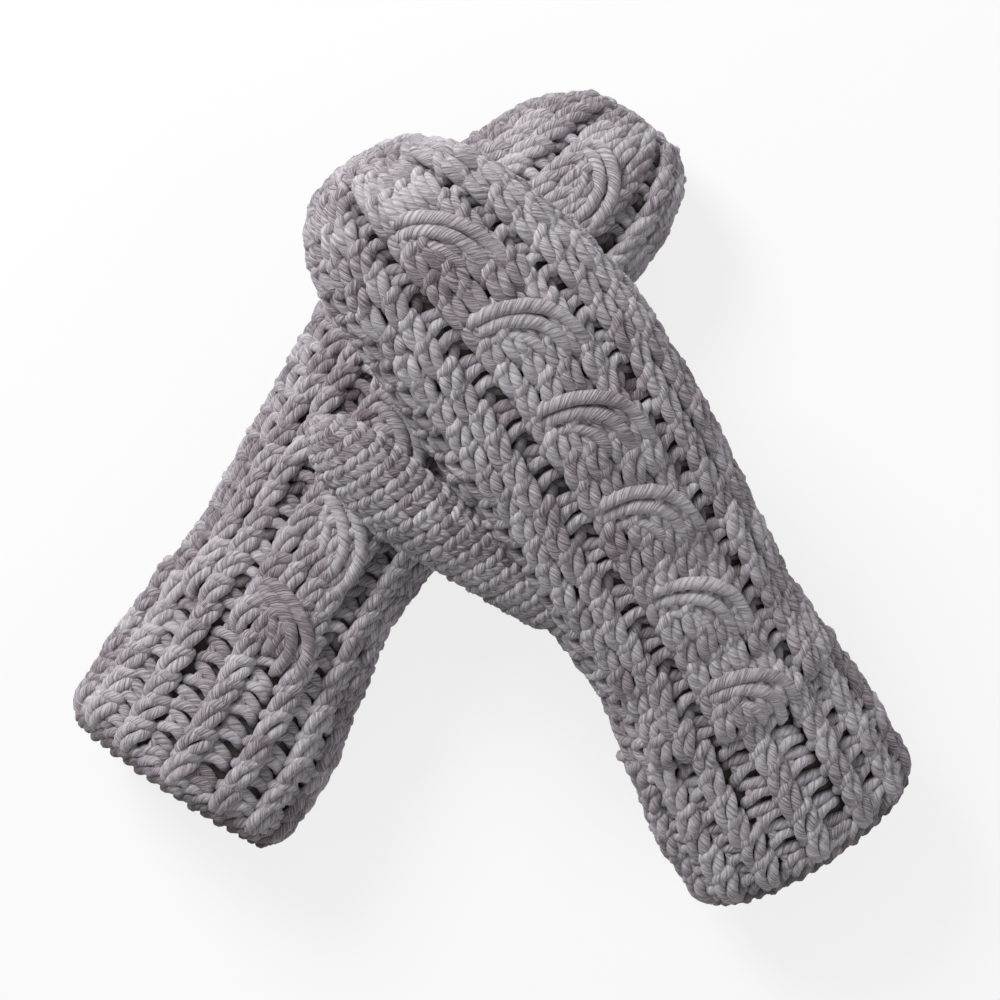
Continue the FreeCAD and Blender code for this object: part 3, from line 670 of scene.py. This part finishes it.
def plyGroup():        # plies twisted round the yarn, and its fibres, with painted shade in the recesses and ply valleys and painted highlights on the fibres
    tree = newTree("TwistedYarn", "ShaderNodeTree", [
        ("Plies", "NodeSocketFloat", yarnSizes["plies"]),
        ("Ply Turn", "NodeSocketFloat", yarnSizes["plyTurn"]),
        ("Ply Depth", "NodeSocketFloat", yarnSizes["plyDepth"]),
        ("Fibre Depth", "NodeSocketFloat", yarnSizes["fibreDepth"]),
        ("Color", "NodeSocketColor", yarnSizes["color"]),
        ("Painted Shade Color", "NodeSocketColor", yarnSizes["paintedShadeColor"]),
        ("Light Color", "NodeSocketColor", yarnSizes["lightColor"]),
        ("Recess Shade Below", "NodeSocketFloat", yarnSizes["recessShadeBelow"]),
        ("Recess Shade Above", "NodeSocketFloat", yarnSizes["recessShadeAbove"]),
    ], [("Color", "NodeSocketColor"), ("Height", "NodeSocketFloat"), ("Roughness", "NodeSocketFloat")])
    into = tree.nodes.new("NodeGroupInput").outputs
    way = node(tree, "ShaderNodeAttribute", attribute_name="yarnRound").outputs["Vector"]
    along = node(tree, "ShaderNodeAttribute", attribute_name="yarnAlong").outputs["Fac"]
    rise = node(tree, "ShaderNodeAttribute", attribute_name="yarnRise").outputs["Fac"]
    shade = node(tree, "ShaderNodeAttribute", attribute_name="yarnShade").outputs["Fac"]
    sides = node(tree, "ShaderNodeSeparateXYZ", {"Vector": way}).outputs
    angle = maths(tree, "ARCTAN2", sides[1], sides[0])
    turn = maths(tree, "MULTIPLY", maths(tree, "DIVIDE", along, into["Ply Turn"]), 2 * math.pi)
    twist = maths(tree, "ADD", angle, turn)
    place = node(tree, "ShaderNodeTexCoord").outputs["Object"]

    def noise(scale, detail=2.0, vector=place, **values):
        values.update({"Vector": vector, "Scale": scale, "Detail": detail})
        return node(tree, "ShaderNodeTexNoise", values).outputs["Fac"]

    def part(value, share):
        return maths(tree, "MULTIPLY", value, share)

    def total(first, last):
        return maths(tree, "ADD", first, last)

    stray = noise(yarnNoise["strayScale"])
    phase = total(part(twist, into["Plies"]), part(total(shade, stray), yarnNoise["strayPhase"]))
    wave = total(part(maths(tree, "SINE", phase), 0.5), 0.5)
    rounded = maths(tree, "POWER", wave, yarnNoise["plyRoundness"])        # narrow valleys between
    streak = node(tree, "ShaderNodeCombineXYZ", {
        "X": maths(tree, "COSINE", twist), "Y": maths(tree, "SINE", twist),
        "Z": total(part(along, yarnNoise["fibreAlong"]), part(shade, yarnNoise["fibrePhase"]))})
    fibre = noise(yarnNoise["fibreScale"], 4.0, streak.outputs[0], Roughness=0.7)
    tuft = noise(yarnNoise["tuftScale"])
    cloud = noise(yarnNoise["cloudScale"])
    height = total(part(rounded, into["Ply Depth"]), part(fibre, into["Fibre Depth"]))
    height = total(height, part(tuft, into["Fibre Depth"]))
    # painted shade: strands that lie low under the others are darkened
    recessShadeMask = node(tree, "ShaderNodeMapRange", {
        "Value": rise, "From Min": into["Recess Shade Below"], "From Max": into["Recess Shade Above"]},
        interpolation_type="SMOOTHSTEP").outputs[0]
    # painted shade in the valleys between the plies
    plyValleyShade = total(1 - yarnNoise["plyValleyShadeShare"], part(rounded, yarnNoise["plyValleyShadeShare"]))
    # random tone per stitch and in clouds, with painted highlights along the fibre streaks
    toneAndHighlight = total(part(shade, yarnNoise["stitchShare"]), part(cloud, 1 - yarnNoise["stitchShare"]))
    toneAndHighlight = node(tree, "ShaderNodeMapRange", {
        "Value": total(part(toneAndHighlight, 1 - yarnNoise["fibreShare"]), part(fibre, yarnNoise["fibreShare"])),
        "From Min": yarnNoise["lightFrom"], "From Max": yarnNoise["lightTo"]}).outputs[0]
    body = mixColor(tree, toneAndHighlight, into["Color"], into["Light Color"])
    body = mixColor(tree, plyValleyShade, into["Painted Shade Color"], body)
    # painted shade mixed in where the strands lie low
    body = mixColor(tree, total(1 - yarnNoise["recessShadeShare"], part(recessShadeMask, yarnNoise["recessShadeShare"])),
                    into["Painted Shade Color"], body)
    rough = total(yarnSizes["roughness"] - yarnNoise["roughChange"] / 2,
                  part(fibre, yarnNoise["roughChange"]))
    out = tree.nodes.new("NodeGroupOutput")
    for name, socket in (("Color", body), ("Height", height), ("Roughness", rough)):
        tree.links.new(socket, out.inputs[name])
    return tree


def mixColor(tree, share, first, last):
    made = tree.nodes.new("ShaderNodeMix")
    made.data_type = "RGBA"
    for socket, value in ((made.inputs[0], share), (made.inputs[6], first), (made.inputs[7], last)):
        if isinstance(value, bpy.types.NodeSocket):
            tree.links.new(value, socket)
        else:
            socket.default_value = value
    return made.outputs[2]


yarnGroup = plyGroup()


def yarnMaterial(name):
    material = bpy.data.materials.new(name)
    material.use_nodes = True
    tree = material.node_tree
    surface = tree.nodes["Principled BSDF"]
    surface.inputs["Sheen Weight"].default_value = yarnSizes["sheen"]
    surface.inputs["Sheen Roughness"].default_value = yarnSizes["sheenRoughness"]
    surface.inputs["Specular IOR Level"].default_value = yarnSizes["specular"]
    group = tree.nodes.new("ShaderNodeGroup")
    group.node_tree = yarnGroup
    bump = node(tree, "ShaderNodeBump", {"Strength": 1.0, "Distance": 1.0,
                                         "Height": group.outputs["Height"]})
    tree.links.new(group.outputs["Color"], surface.inputs["Base Color"])
    tree.links.new(group.outputs["Roughness"], surface.inputs["Roughness"])
    tree.links.new(bump.outputs[0], surface.inputs["Normal"])
    return material


raisedYarn = yarnMaterial("raisedYarn")
thumbYarn = yarnMaterial("thumbYarn")


# Where the stitches go

rowSizes = {
    "cuffRows": 6,
    "rowHeight": 9.25 * mm,
    "firstCrossingRow": 1,
    "crossingRows": 4,
    "ribs": 14,
    "flare": 30 * mm,        # where the ribs' places are measured
    "handTop": 200 * mm,
    "fingersTop": 253 * mm,
    "ribWidth": 9.2 * mm,
    "gapWidth": 9.6 * mm,
    "drawnShare": 0.5,        # rounds narrower than this are drawn together
    "drawnWidth": 2.1,        # how much wider each stitch is there
    "lastRow": 8 * mm,        # from the start of the closing round to the very tip
    "lastCrossing": 3,        # no crossing in so many rounds before the tip
    "crossedLift": -1.6 * mm,        # strands lie lower under a crossing
    "strandLift": -0.5 * mm,
    "plainOverlap": 1.02,
    "thumbDepth": 3.5 * mm,        # stitches deeper than this inside the thumb are left out
    "ribStart": 4 * mm,
    "ribLift": -0.6 * mm,
    "fabricLift": 0.4 * mm,
    "edgeStitches": 38,
    "edgeHeight": 6.5 * mm,
}
columnSizes = {        # distances round the hand from the middle of the cable
    "cable": (-12.3 * mm, -4.1 * mm, 4.1 * mm, 12.3 * mm),
    "cableWidth": 8.4 * mm,
    "thumbPosts": (-28.6 * mm, -37.4 * mm),
    "outerPosts": (26.5 * mm, 35.5 * mm),
    "postWidth": 8.6 * mm,
    "gaps": (-20.8 * mm, 19.6 * mm),
    "plainColumns": 17,
}


def turnOf(guide, point):        # share of a turn from the highest line, for a local point
    i = int(np.argmin(np.abs(guide["rows"][:, 0] - point[1])))
    places = guide["places"][i]
    near = np.hypot(places[:, 0] - point[0], places[:, 2] - point[2])
    over = int(guide["over"] * (len(near) - 1) / (1 + 2 * guide["over"]))
    return guide["turns"][over + int(np.argmin(near[over:-over]))]


def cableTurn(side):        # the cable's own place round the hand, from its two strands
    guide = mittenGuides[side]
    points = localPoints(side, "cable_strand_a")[::9] + localPoints(side, "cable_strand_b")[::9]
    turns = [turnOf(guide, p) for p in points if 70 * mm < p.y < 240 * mm]
    return (min(turns) + max(turns)) / 2


def plainWidth():        # the plain columns share what the raised ones leave
    raised = columnSizes["outerPosts"][1] - columnSizes["thumbPosts"][1]
    return (mittenSizes["girth"] - raised) / (columnSizes["plainColumns"] + 1)


def columnsOf(side):        # every column above the cuff: its place and its kind
    hand, girth, middle = handSign[side], mittenSizes["girth"], cableTurn(side)
    high = columnSizes["outerPosts"][1]
    columns = [("cable", place) for place in columnSizes["cable"]]
    columns += [("gap", place) for place in columnSizes["gaps"]]
    columns += [("thumbPost", place) for place in columnSizes["thumbPosts"]]
    columns += [("outerPost", place) for place in columnSizes["outerPosts"]]
    columns += [("plain", high + plainWidth() * (i + 1)) for i in range(columnSizes["plainColumns"])]
    return [(kind, wrapTurn(middle + hand * place / girth)) for kind, place in columns]


def wrapTurn(turn):
    return (turn + 0.5) % 1.0 - 0.5


def rowPlaces(side):        # the start of each row above the cuff, by distance along the guide
    guide = mittenGuides[side]
    start = distanceAt(guide, mittenSizes["cuffTop"])
    end = guide["start"] + guide["length"]
    rows = int((end - start) / rowSizes["rowHeight"])
    return [start + rowSizes["rowHeight"] * i for i in range(rows)] + [end - rowSizes["lastRow"]]


def distanceAt(guide, y):
    return guide["start"] + float(np.interp(y, guide["rows"][:, 0], guide["along"]))


def girthShare(guide, distance):        # how narrow the mitten is there
    rows = guide["rows"]
    girths = girthOf(rows[:, 1], rows[:, 2])
    return float(np.interp(distance - guide["start"], guide["along"], girths)) / guide["girth"]


def sectionAt(guide, y):        # half width, half depth and middle of the section there
    rows = guide["rows"]
    return [np.interp(y, rows[:, 0], rows[:, i]) for i in range(1, 5)]


def depthInside(guide, x, y, z):
    halfWidth, halfDepth, middleX, middleZ = sectionAt(guide, y)
    reach = math.hypot((x - middleX) / halfWidth, (z - middleZ) / halfDepth)
    return (1 - reach) * halfDepth


def insideThumb(side, turn, distance, depth):
    x, y, z = placeOn(mittenGuides[side], turn, distance, -2 * mm)
    rows = thumbGuides[side]["rows"]
    return rows[0, 0] < y < rows[-1, 0] and depthInside(thumbGuides[side], x, y, z) > depth


def insideHand(side, turn, distance, depth):
    x, y, z = placeOn(thumbGuides[side], turn, distance, -2 * mm)
    return depthInside(mittenGuides[side], x, y, z) > depth


stretches = {        # which node each stretch of plain rows belongs to, by its end
    "hand": rowSizes["handTop"],
    "fingers": rowSizes["fingersTop"],
    "tip_gather": 1.0,
}


def stretchOf(guide, distance):
    y = float(np.interp(distance - guide["start"], guide["along"], guide["rows"][:, 0]))
    return next(name for name, end in stretches.items() if y < end)


columnOrder = {side: sorted(range(len(columnsOf(side))), key=lambda i: columnsOf(side)[i][1])
               for side in handSign}


def handRows(side):        # all stitches above the cuff, sorted by the node that they stand for
    guide = mittenGuides[side]
    work = {name: [] for name in list(stretches) + ["thumb_side_columns", "outer_columns",
                                                    "cable_strand_a", "cable_strand_b"]}
    tall = rowSizes["rowHeight"]
    starts = rowPlaces(side)
    for row, start in enumerate(starts):
        close = girthShare(guide, start + tall / 2) < rowSizes["drawnShare"]
        crossings, phase = divmod(row - rowSizes["firstCrossingRow"], rowSizes["crossingRows"])
        for number, (kind, turn) in enumerate(columnsOf(side)):
            if close and columnOrder[side].index(number) % 2:        # worked in pairs
                continue
            wide, lift, stitch = columnSizes["postWidth"], 0.0, "frontPost"
            if kind == "plain":
                name, stitch = stretchOf(guide, start), "plain"
                wide = plainWidth() * rowSizes["plainOverlap"]
                if insideThumb(side, turn, start + tall / 2, rowSizes["thumbDepth"]):
                    continue
            elif kind == "gap":
                name, wide = stretchOf(guide, start), rowSizes["gapWidth"]
                stitch = "openBackPost" if row % 2 else "backPost"
            elif kind == "cable":
                left = number < 2
                name = "cable_strand_a" if left == (crossings % 2 == 0) else "cable_strand_b"
                wide = columnSizes["cableWidth"]
                lift = rowSizes["crossedLift"] if phase == 0 else rowSizes["strandLift"]
            else:
                name = "thumb_side_columns" if kind == "thumbPost" else "outer_columns"
            if close:
                stitch, lift, wide = "plain", 0.0, wide * rowSizes["drawnWidth"]
            work[name].append((stitch, turn, start, lift, wide, tall, 0.0))
        if phase == 0 and row < len(starts) - rowSizes["lastCrossing"]:
            name = "cable_strand_a" if crossings % 2 == 0 else "cable_strand_b"
            work[name].append(("crossing", cableTurn(side), start, 0.0, columnSizes["cableWidth"],
                               tall, 0.0))
    return work


def cuffRows(side):
    guide = mittenGuides[side]
    y = rowSizes["flare"]
    halfWidth, halfDepth, x, z = sectionAt(guide, y)
    start, end = distanceAt(guide, rowSizes["ribStart"]), distanceAt(guide, mittenSizes["cuffTop"])
    tall = (end - start) / rowSizes["cuffRows"]
    ribs, fabric = [], []
    for i in range(rowSizes["ribs"] * 2):
        angle = math.pi * (i + 1) / rowSizes["ribs"]
        turn = turnOf(guide, (x + halfWidth * math.cos(angle), y, z + halfDepth * math.sin(angle)))
        for row in range(rowSizes["cuffRows"]):
            distance = start + tall * row
            if i % 2 == 0:
                ribs.append(("frontPost", turn, distance, rowSizes["ribLift"], rowSizes["ribWidth"],
                             tall, 0.0))
            else:
                fabric.append(("backPost", turn, distance, rowSizes["fabricLift"], rowSizes["ribWidth"],
                               tall, 0.0))
    return ribs, fabric


def edgeRows(side):
    count = rowSizes["edgeStitches"]
    return [("edge", (i + 0.5) / count - 0.5, distanceAt(mittenGuides[side], 0.0), 0.0,
             mittenSizes["girth"] / count, rowSizes["edgeHeight"], 0.0) for i in range(count)]


thumbRows = {
    "stitches": 15,
    "rounds": 16,
    "shift": 0.15,        # of a stitch, from one round to the next
    "overlap": 1.08,
    "gussetEnd": 4 * mm,        # before the thumb's own solid starts
    "tipStart": 2 * mm,
    "handDepth": 4 * mm,        # stitches deeper than this inside the hand are left out
    "hinge": (-8 * mm, 14 * mm),        # a stretch about the thumb's root
    "changes": {"Turn": 0.08, "Size Change": 0.05, "Lift Change": 0.2 * mm, "Yarn Change": 0.04},
}


def thumbStitches(side):
    guide = thumbGuides[side]
    tall = guide["length"] / thumbRows["rounds"]
    work = {"thumb_gusset": [], "thumb": [], "thumb_tip": []}
    root = min(p.y for p in localPoints(side, "thumb"))
    top = min(p.y for p in localPoints(side, "thumb_tip"))
    for row in range(thumbRows["rounds"]):
        distance = guide["start"] + tall * row
        y = float(np.interp(distance - guide["start"], guide["along"], guide["rows"][:, 0]))
        if y < root - thumbRows["gussetEnd"]:
            name = "thumb_gusset"
        else:
            name = "thumb" if y < top - thumbRows["tipStart"] else "thumb_tip"
        for i in range(thumbRows["stitches"]):
            turn = wrapTurn((i + thumbRows["shift"] * row) / thumbRows["stitches"])
            if insideHand(side, turn, distance + tall / 2, thumbRows["handDepth"]):
                continue
            work[name].append(("single", turn, distance, 0.0, guide["girth"] / thumbRows["stitches"],
                               tall * thumbRows["overlap"], 0.0))
    return work


# The pieces

seeds = {"mitten": 20, "thumb": 50}
liningSizes = {
    "rows": 90,
    "around": 120,
    "outside": -3.6 * mm,        # measured from the guide
    "inside": -5.2 * mm,
    "start": 1 * mm,        # from the guide's ends
    "end": 2 * mm,
    # the near black is painted shade: the hollow inside, seen through the gaps between the stitches
    "color": (0.03, 0.02, 0.02, 1),
    "lightColor": (0.10, 0.078, 0.08, 1),
    "noiseScale": 420.0,
    "bump": 0.8 * mm,
}


def makeMitten(side):
    guide = mittenGuides[side]
    ribs, fabric = cuffRows(side)
    work = {"cuff_edge": edgeRows(side), "cuff": fabric, "cuff_ribs": ribs}
    work.update(handRows(side))
    made = {}
    for number, (name, rows) in enumerate(work.items()):
        made[name] = workPiece("%s_%s_stitches" % (side, name), guide, rows, raisedYarn,
                               seeds["mitten"] + number)
    for number, (name, rows) in enumerate(thumbStitches(side).items()):
        made[name] = workPiece("%s_%s_stitches" % (side, name), thumbGuides[side], rows, thumbYarn,
                               seeds["thumb"] + number, thumbRows["changes"])
    for name, piece in made.items():
        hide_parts(side + "_" + name)
        if name == "thumb":
            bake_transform(piece)
        else:
            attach(piece, side + ("_thumb" if name == "thumb_tip" else "_mitten"))


def makeLining(name, guide, first):        # the inside of the fabric, behind the stitches, coloured near black as painted shade for the hollow inside
    rows, count = liningSizes["rows"], liningSizes["around"]
    last = guide["start"] + guide["length"] - liningSizes["end"]
    distances = np.linspace(first, last, rows)
    turns = np.linspace(-0.5, 0.5, count, endpoint=False)
    outer = placeOn(guide, turns[None, :], distances[:, None], liningSizes["outside"])
    inner = placeOn(guide, turns[None, :], distances[:, None], liningSizes["inside"])
    matrix = np.array(matrices[guide["side"]])
    points = np.concatenate((outer.reshape(-1, 3), inner.reshape(-1, 3)))
    points = points @ matrix[:3, :3].T + matrix[:3, 3]
    total = rows * count
    faces = []
    for i in range(rows - 1):
        for j in range(count):
            k = (j + 1) % count
            quad = (i * count + j, i * count + k, (i + 1) * count + k, (i + 1) * count + j)
            faces.append(quad)
            faces.append(tuple(total + v for v in reversed(quad)))
    for j in range(count):
        k = (j + 1) % count
        faces.append((total + j, total + k, k, j))
        top = (rows - 1) * count
        faces.append((top + j, top + k, total + top + k, total + top + j))
    mesh = bpy.data.meshes.new(name)
    mesh.from_pydata(points.tolist(), [], faces)
    mesh.materials.append(liningShadeYarn)
    mesh.polygons.foreach_set("use_smooth", [True] * len(mesh.polygons))
    restOnPalm(mesh, guide["side"])
    piece = bpy.data.objects.new(name, mesh)
    bpy.context.scene.collection.objects.link(piece)
    return piece


# near black with a faint noise: painted shade for the hollow inside the mittens
def liningShadeMaterial():
    material = bpy.data.materials.new("liningShadeYarn")
    material.use_nodes = True
    tree = material.node_tree
    surface = tree.nodes["Principled BSDF"]
    surface.inputs["Sheen Weight"].default_value = yarnSizes["sheen"]
    place = node(tree, "ShaderNodeTexCoord").outputs["Object"]
    noise = node(tree, "ShaderNodeTexNoise", {
        "Vector": place, "Scale": liningSizes["noiseScale"], "Detail": 3.0})
    color = mixColor(tree, noise.outputs["Fac"], liningSizes["color"], liningSizes["lightColor"])
    tree.links.new(color, surface.inputs["Base Color"])
    rough = maths(tree, "ADD", 0.8, maths(tree, "MULTIPLY", noise.outputs["Fac"], 0.2))
    tree.links.new(rough, surface.inputs["Roughness"])
    bump = node(tree, "ShaderNodeBump", {
        "Strength": 1.0, "Distance": liningSizes["bump"], "Height": noise.outputs["Fac"]})
    tree.links.new(bump.outputs[0], surface.inputs["Normal"])
    return material


liningShadeYarn = liningShadeMaterial()
for side in handSign:
    makeMitten(side)
    guide = mittenGuides[side]
    lining = makeLining(side + "_lining", guide, distanceAt(guide, liningSizes["start"]))
    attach(lining, side + "_mitten")
    guide = thumbGuides[side]
    lining = makeLining(side + "_thumb_lining", guide, guide["start"] + liningSizes["start"])
    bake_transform(lining)
print("mittens made")

for side in handSign:
    for guide in (mittenGuides[side], thumbGuides[side]):
        bpy.data.objects.remove(guide["object"])


# Floor, light and camera

stageSizes = {
    "floor": 6.0,
    "lookAt": (0.0030, -0.0010),
    "lampAim": (0, 0, 0.05),
    "height": 0.87,
    "angle": math.radians(23.5),
    "white": 1.0,
    "room": 0.33,        # how brightly the surroundings light the mittens
    "glow": 0.8,        # how much of the floor is plain white to the camera
    "floorColor": (0.85, 0.85, 0.85, 1),
    "floorRoughness": 0.9,
}
lamps = {        # place, diameter, power
    "window": ((-0.6, 0.75, 0.8), 0.5, 14.5),
    "fill": ((0.9, -0.3, 0.9), 1.0, 2.0),
}


def seenDirectly(tree):        # by the camera, or in a mirror or through glass
    path = tree.nodes.new("ShaderNodeLightPath").outputs
    glossy = maths(tree, "MAXIMUM", path["Is Glossy Ray"], path["Is Transmission Ray"])
    return maths(tree, "MAXIMUM", path["Is Camera Ray"], glossy)


def makeFloor():
    half = stageSizes["floor"] / 2
    mesh = bpy.data.meshes.new("floor")
    corners = [(-half, -half, 0), (half, -half, 0), (half, half, 0), (-half, half, 0)]
    mesh.from_pydata(corners, [], [(0, 1, 2, 3)])
    floor = bpy.data.objects.new("floor", mesh)
    bpy.context.scene.collection.objects.link(floor)
    material = bpy.data.materials.new("paleFloor")
    material.use_nodes = True
    tree = material.node_tree
    surface = tree.nodes["Principled BSDF"]
    surface.inputs["Base Color"].default_value = stageSizes["floorColor"]
    surface.inputs["Roughness"].default_value = stageSizes["floorRoughness"]
    glow = node(tree, "ShaderNodeEmission", {"Color": (1, 1, 1, 1), "Strength": stageSizes["white"]})
    mix = tree.nodes.new("ShaderNodeMixShader")
    tree.links.new(maths(tree, "MULTIPLY", seenDirectly(tree), stageSizes["glow"]), mix.inputs[0])
    tree.links.new(surface.outputs[0], mix.inputs[1])
    tree.links.new(glow.outputs[0], mix.inputs[2])
    tree.links.new(mix.outputs[0], tree.nodes["Material Output"].inputs["Surface"])
    mesh.materials.append(material)


def makeLamp(name, place, size, power):        # a round lamp, turned to the mittens
    light = bpy.data.lights.new(name, "AREA")
    light.shape = "DISK"
    light.size = size
    light.energy = power
    lamp = bpy.data.objects.new(name, light)
    bpy.context.scene.collection.objects.link(lamp)
    lamp.location = place
    aim = Vector(stageSizes["lampAim"]) - Vector(place)
    lamp.rotation_euler = aim.to_track_quat("-Z", "Y").to_euler()


def makeWorld():
    world = bpy.data.worlds.new("room")
    bpy.context.scene.world = world
    world.use_nodes = True
    tree = world.node_tree
    room = tree.nodes["Background"]
    room.inputs["Color"].default_value = (1, 1, 1, 1)
    room.inputs["Strength"].default_value = stageSizes["room"]
    white = node(tree, "ShaderNodeBackground", {"Color": (1, 1, 1, 1), "Strength": stageSizes["white"]})
    mix = tree.nodes.new("ShaderNodeMixShader")
    tree.links.new(seenDirectly(tree), mix.inputs[0])
    tree.links.new(room.outputs[0], mix.inputs[1])
    tree.links.new(white.outputs[0], mix.inputs[2])
    tree.links.new(mix.outputs[0], tree.nodes["World Output"].inputs["Surface"])


def makeCamera():
    data = bpy.data.cameras.new("camera")
    data.angle = stageSizes["angle"]
    camera = bpy.data.objects.new("camera", data)
    bpy.context.scene.collection.objects.link(camera)
    camera.location = stageSizes["lookAt"] + (stageSizes["height"],)
    bpy.context.scene.camera = camera


makeFloor()
makeWorld()
for name, values in lamps.items():
    makeLamp(name, *values)
makeCamera()
bpy.context.scene.view_settings.view_transform = "Standard"
